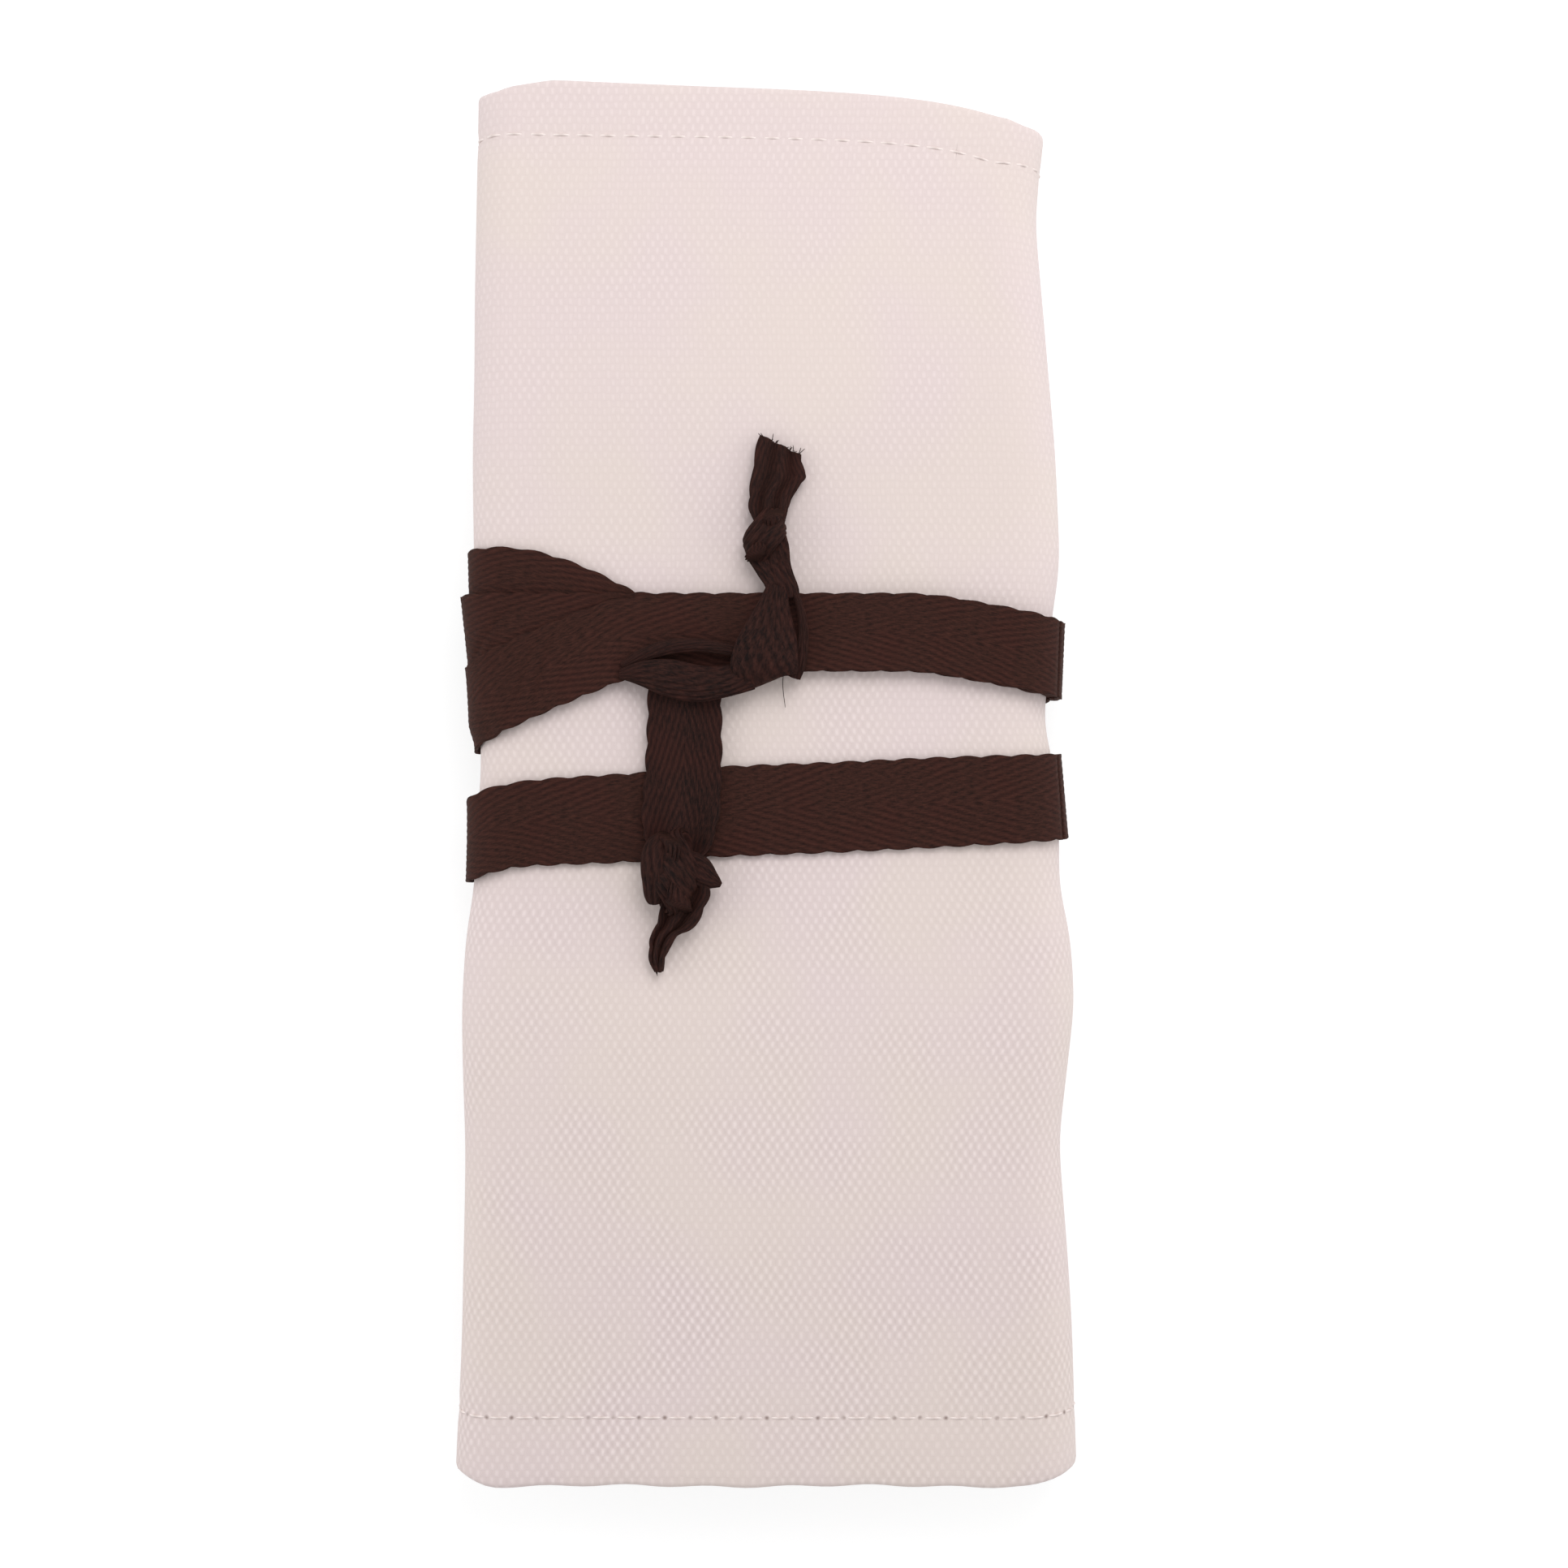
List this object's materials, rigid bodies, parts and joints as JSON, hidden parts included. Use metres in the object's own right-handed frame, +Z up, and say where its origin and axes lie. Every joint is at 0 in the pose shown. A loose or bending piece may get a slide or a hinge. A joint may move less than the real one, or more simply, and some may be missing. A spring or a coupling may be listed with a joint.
{
  "type": "pencil wrap",
  "caption": "Canvas pencil wrap rolled flat, with pencil channels sewn on its inner panels, tied round the middle with knotted cotton tape.",
  "frame": {"origin": "centre of the rolled wrap's footprint, on the surface that it lies on", "axes": "+X across the roll to the outer fold, +Y along the pencils to the wrap's top end, +Z up out of the front face with the knot"},
  "size_m": [0.0997, 0.22, 0.0241],
  "materials": {
    "canvas": "plain-weave natural cotton canvas, washed soft",
    "pocket_canvas": "lighter plain-weave cotton, sewn in channels",
    "hem_canvas": "double-turned canvas hem, pressed and stitched",
    "tape": "dark brown herringbone cotton tape",
    "tape_knot": "dark brown herringbone cotton tape, pulled into a knot"
  },
  "bodies": {
    "back": {"back_canvas": "canvas", "back_bottom_hem": "hem_canvas", "back_top_hem": "hem_canvas", "free_edge_hem": "hem_canvas", "fold_canvas": "canvas", "fold_bottom_hem": "hem_canvas", "fold_top_hem": "hem_canvas"},
    "roll": {"rolled_canvas": "canvas", "pocket_strip": "pocket_canvas", "rolled_bottom_hem": "hem_canvas", "rolled_top_hem": "hem_canvas", "core_edge_hem": "hem_canvas"},
    "tie": {"tie_first_turn": "tape", "tie_second_turn": "tape", "tie_third_turn": "tape", "tie_fourth_turn": "tape", "tie_right_strand": "tape", "tie_knot_loop": "tape"},
    "upper_tail": {"upper_tail": "tape", "upper_tail_knot": "tape_knot", "upper_tail_tip": "tape"},
    "lower_tail": {"lower_tail": "tape", "lower_tail_knot": "tape_knot", "lower_tail_tip": "tape"}
  },
  "joints": [
    {"name": "outer_turn", "type": "hinge", "parent": "back", "child": "roll", "pos_m": [0.0467, 0, 0.009], "axis": [0, 1, 0], "range_deg": [0, 180], "deforming": ["fold_canvas", "fold_bottom_hem", "fold_top_hem", "tie_first_turn", "tie_second_turn", "tie_third_turn", "tie_fourth_turn", "tie_right_strand", "tie_knot_loop", "upper_tail", "upper_tail_knot", "upper_tail_tip", "lower_tail", "lower_tail_knot", "lower_tail_tip"]},
    {"name": "tie_slide", "type": "slide", "parent": "back", "child": "tie", "axis": [0, 1, 0], "range_m": [0, 0.15]},
    {"name": "upper_tail_lift", "type": "hinge", "parent": "tie", "child": "upper_tail", "pos_m": [0.0028, 0.02985, 0.02049], "axis": [1, 0, 0], "range_deg": [0, 120]},
    {"name": "lower_tail_lift", "type": "hinge", "parent": "tie", "child": "lower_tail", "pos_m": [-0.013, 0.01715, 0.02024], "axis": [-1, 0, 0], "range_deg": [0, 120]}
  ],
  "couplings": [
    {"joint": "tie_slide", "follows": "outer_turn", "m_per_rad": 0.0477}
  ]
}
